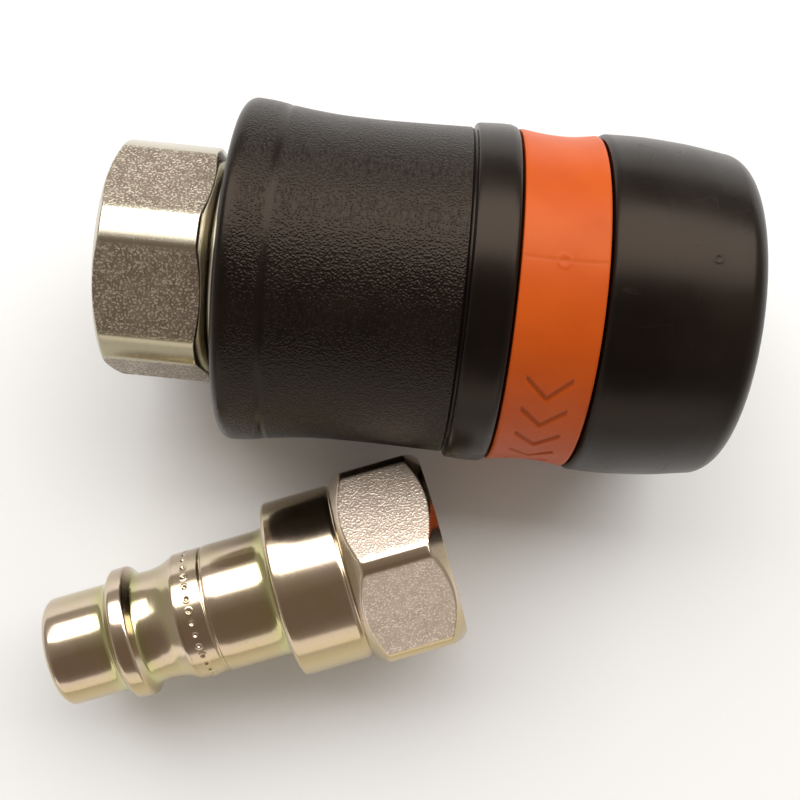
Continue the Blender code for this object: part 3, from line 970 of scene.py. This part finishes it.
rods = ball_hole_rods()
drill = body.modifiers.new("drill", "BOOLEAN")
drill.object = rods
drill.operation = "DIFFERENCE"
bpy.context.view_layer.update()
drilled = bpy.data.meshes.new_from_object(body.evaluated_get(bpy.context.evaluated_depsgraph_get()))
body.modifiers.clear()
body.data = drilled
bpy.data.objects.remove(rods, do_unlink=True)
settle(sharpen(body), "socket_frame", "barrel")
print("barrel drilled:", len(body.data.polygons), "faces")

# %% Balls


def ball_points(centre, rings=24, columns=40):
    """A sphere as rows of latitude, from a tiny ring at one pole to another at the other."""
    lat = np.linspace(-np.pi / 2 + 0.02, np.pi / 2 - 0.02, rings)[:, None]
    lon = np.arange(columns)[None] * 2 * np.pi / columns
    flat, high = np.cos(lat), np.sin(lat) * np.ones_like(lon)
    sphere = np.stack([flat * np.cos(lon), flat * np.sin(lon), high], axis=-1)
    return sphere * BALL_RADIUS + np.array(centre)


for number, a in enumerate(BALL_TURNS, 1):
    points = ball_points((BALL_X, -np.sin(a) * BALL_CENTRE, np.cos(a) * BALL_CENTRE))
    faces = capped_grid(*points.shape[:2])
    ball = new_piece(f"bearing_ball_{number}", points, faces, socket_place, ball_steel)
    settle(ball, f"ball_{number}", f"lock_ball_{number}")
print(BALL_COUNT, "balls")

# %% [markdown]
# ## Seals and springs
# An O-ring is a small circle carried round a large one. A spring is the same circle carried along
# a helix, whose first and last turns lie flat so that it stands square on its seats.

# %% O-rings


def o_ring(name, x, mean_radius, cord_radius, node, body_name, columns=96):
    """A torus: the outline is a circle."""
    turn = np.linspace(0, 2 * np.pi, 20, endpoint=False)
    along = x + cord_radius * np.cos(turn)
    out = mean_radius + cord_radius * np.sin(turn)
    radius = np.repeat(out[:, None], columns, axis=1)
    piece = shell(name, along, radius, around(columns), socket_place, rubber)
    return settle(piece, body_name, node)


o_ring("plug_o_ring", 56.7, 8.75, 1.1, "plug_seal", "socket_frame")
o_ring("adapter_o_ring", 25.7, 11.7, 0.7, "adapter_seal", "socket_frame")
o_ring("valve_o_ring", 48.85, 8.2, 0.8, "valve_seal", "valve")

# %% Springs
STEPS_A_TURN = 36
WIRE_SIDES = 12
LEVEL_PART = 0.35


def spring(name, start, end, radius, wire, turns, node):
    """A round wire along a helix, level over the first and last part of a turn.
    """
    t = np.linspace(0, 1, int(turns * STEPS_A_TURN) + 1)
    level = LEVEL_PART / turns
    rise = np.clip((t - level) / (1 - 2 * level), 0, 1)
    x = start + wire + (end - start - 2 * wire) * rise
    turn = (2 * np.pi * turns * t)[:, None]
    section = np.linspace(0, 2 * np.pi, WIRE_SIDES, endpoint=False)
    out = radius + wire * np.cos(section)
    along = x[:, None] + wire * np.sin(section)
    points = np.stack([along, out * np.cos(turn), out * np.sin(turn)], axis=-1)
    piece = new_piece(name, points, capped_grid(len(t), WIRE_SIDES), socket_place, spring_wire)
    settle(piece, "socket_frame", node)
    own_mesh(piece)


spring("sleeve_coil", 41.6, 53.7, 13.4, 0.75, 3.5, "sleeve_spring")
spring("valve_coil", 30.5, 45.2, 6.6, 0.6, 4.5, "valve_spring")
print("springs made")

# %% [markdown]
# ## Pieces that keep their shape
# The sleeve, the washer, the snap ring, the guide disc and the poppet already have the right
# shape. Each gets a merged copy with its edges broken by a small bevel, so that it catches the
# light as a machined piece does.

# %% Machined copies
EDGE_BREAK = 0.12


def machined_copy(node, body_name, name, material):
    """A merged copy of a node, shaded smooth between its real edges, with those edges bevelled."""
    bm = bmesh.new()
    bm.from_mesh(frame["nodes"][node].data)
    bmesh.ops.remove_doubles(bm, verts=bm.verts, dist=1e-6)
    bmesh.ops.dissolve_limit(bm, angle_limit=math.radians(0.5), verts=bm.verts, edges=bm.edges)
    mesh = bpy.data.meshes.new(name)
    bm.to_mesh(mesh)
    bm.free()
    mesh.materials.clear()
    mesh.materials.append(material)
    mesh.shade_smooth()
    piece = sharpen(bpy.data.objects.new(name, mesh))
    bpy.context.scene.collection.objects.link(piece)
    edge = piece.modifiers.new("edge", "BEVEL")
    edge.width = EDGE_BREAK * MM
    edge.segments = 2
    edge.limit_method = "ANGLE"
    edge.angle_limit = math.radians(40)
    edge.use_clamp_overlap = True
    return settle(piece, body_name, node)


machined_copy("valve_body", "valve", "brass_poppet", brass)
machined_copy("valve_guide", "socket_frame", "guide_disc", brass)
machined_copy("lock_sleeve", "sleeve", "steel_sleeve", steel)
machined_copy("spring_washer", "socket_frame", "thrust_washer", steel)
machined_copy("snap_ring", "socket_frame", "stop_ring", spring_wire)
print("five machined copies")

# %% [markdown]
# ## Floor and light
# A round metal piece shows its surroundings as long bands, so the surroundings are part of the
# finish. Here they are a pale floor, a wide soft lamp behind the socket that draws the bright
# line, and a dim warm sky that is darkest where the camera's stand would be.

# %% Floor
FLOOR_REACH = 1500.0
FLOOR_DROP = 0.05

paper = Finish("floor_paper", roughness=0.9)
shade = paper.noise(paper.place(), 60.0, 2.0)
paper.paint(base_color=paper.mix(shade, rgb(0.92, 0.95, 0.985), rgb(0.90, 0.93, 0.965)))
floor_corners = [(x * FLOOR_REACH, y * FLOOR_REACH, 0) for x, y in [(-1, -1), (1, -1), (1, 1), (-1, 1)]]
floor = new_piece("floor", floor_corners, [(0, 1, 2, 3)], Matrix.Identity(4), paper.material)
floor.location.z = -FLOOR_DROP * MM
print("floor of", 2 * FLOOR_REACH * MM, "m")

# %% Sky
SKY_PALE = rgb(0.42, 0.385, 0.34)
SKY_DARK = rgb(0.205, 0.155, 0.117)
DARK_TOWARDS = (0.0, -0.47, 0.88)

world = bpy.data.worlds.new("studio")
bpy.context.scene.world = world
world.use_nodes = True
sky = Graph(world.node_tree)
outward = sky.node("ShaderNodeTexCoord", {}, {}, "Generated")
darkness = sky.along(outward, DARK_TOWARDS).step(0.55, 0.93)
background = sky.tree.nodes["Background"]
feed(sky.tree, background.inputs["Color"], sky.mix(darkness, SKY_PALE, SKY_DARK))
background.inputs["Strength"].default_value = 1.0
print("sky is darkest towards", DARK_TOWARDS)

# %% Lamps
LAMP_COLOUR = (1.0, 0.97, 0.93)


def soft_lamp(name, lean, distance, size, power):
    """A rectangular lamp that faces the object, leaning from overhead towards +Y by an angle."""
    light = bpy.data.lights.new(name, "AREA")
    light.shape = "RECTANGLE"
    light.size, light.size_y = size
    light.energy = power
    light.color = LAMP_COLOUR
    lamp = bpy.data.objects.new(name, light)
    bpy.context.scene.collection.objects.link(lamp)
    lean = math.radians(lean)
    lamp.location = Vector((0, math.sin(lean), math.cos(lean))) * distance
    lamp.rotation_euler = (-lamp.location).to_track_quat("-Z", "Y").to_euler()


soft_lamp("long_lamp", 39.0, 0.55, (1.1, 0.42), 5.45)
soft_lamp("low_lamp", -76.0, 0.7, (1.0, 0.3), 0.8)
bpy.context.scene.view_settings.view_transform = "Standard"
